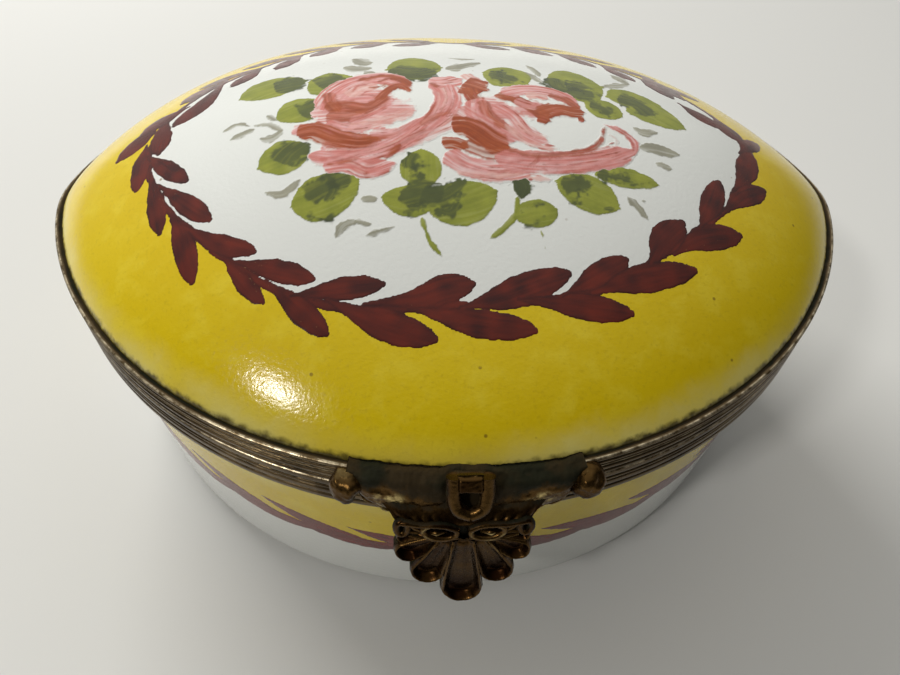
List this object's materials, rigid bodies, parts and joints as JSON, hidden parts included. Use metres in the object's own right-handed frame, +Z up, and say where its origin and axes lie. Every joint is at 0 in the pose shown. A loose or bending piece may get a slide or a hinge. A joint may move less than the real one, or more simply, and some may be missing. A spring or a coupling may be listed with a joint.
{
  "type": "hinged trinket box",
  "caption": "Small lens-shaped porcelain box with a domed lid, reeded brass bands, a rear hinge and a shell clasp at the front.",
  "frame": {"origin": "centre of the flat base, on the table plane", "axes": "+X along the length from tip to tip, +Y to the hinge at the back, +Z up; the clasp is at -Y"},
  "size_m": [0.064, 0.0571, 0.0309],
  "materials": {
    "porcelain_body": "glossy glaze, yellow enamel band above white",
    "porcelain_lid": "glossy glaze, yellow ground with a white centre",
    "aged_brass": "aged, dark in the grooves and bright on the edges",
    "inner_brass": "dull",
    "hinge_brass": "aged",
    "clasp_brass": "cast, aged, worn bright on high points",
    "cement": "matt seating plaster"
  },
  "bodies": {
    "base": {"bowl": "porcelain_body", "bowl_rim": "aged_brass", "bowl_collar": "inner_brass", "bowl_cement": "cement", "hinge_leaf_bowl": "hinge_brass", "hinge_knuckles_bowl": "hinge_brass", "hinge_pin": "hinge_brass", "catch_stud": "clasp_brass"},
    "lid": {"lid": "porcelain_lid", "lid_rim": "aged_brass", "lid_rim_liner": "inner_brass", "lid_cement": "cement", "hinge_leaf_lid": "hinge_brass", "hinge_knuckle_lid": "hinge_brass", "clasp_bar": "clasp_brass", "clasp_bead_left": "clasp_brass", "clasp_bead_right": "clasp_brass", "clasp_eyelet": "clasp_brass", "clasp_eyelet_block": "clasp_brass", "clasp_scrolls": "clasp_brass", "clasp_shell": "clasp_brass"}
  },
  "joints": [
    {"name": "lid_hinge", "type": "hinge", "parent": "base", "child": "lid", "pos_m": [0, 0.02665, 0.0202], "axis": [-1, 0, 0], "range_deg": [0, 100]}
  ]
}
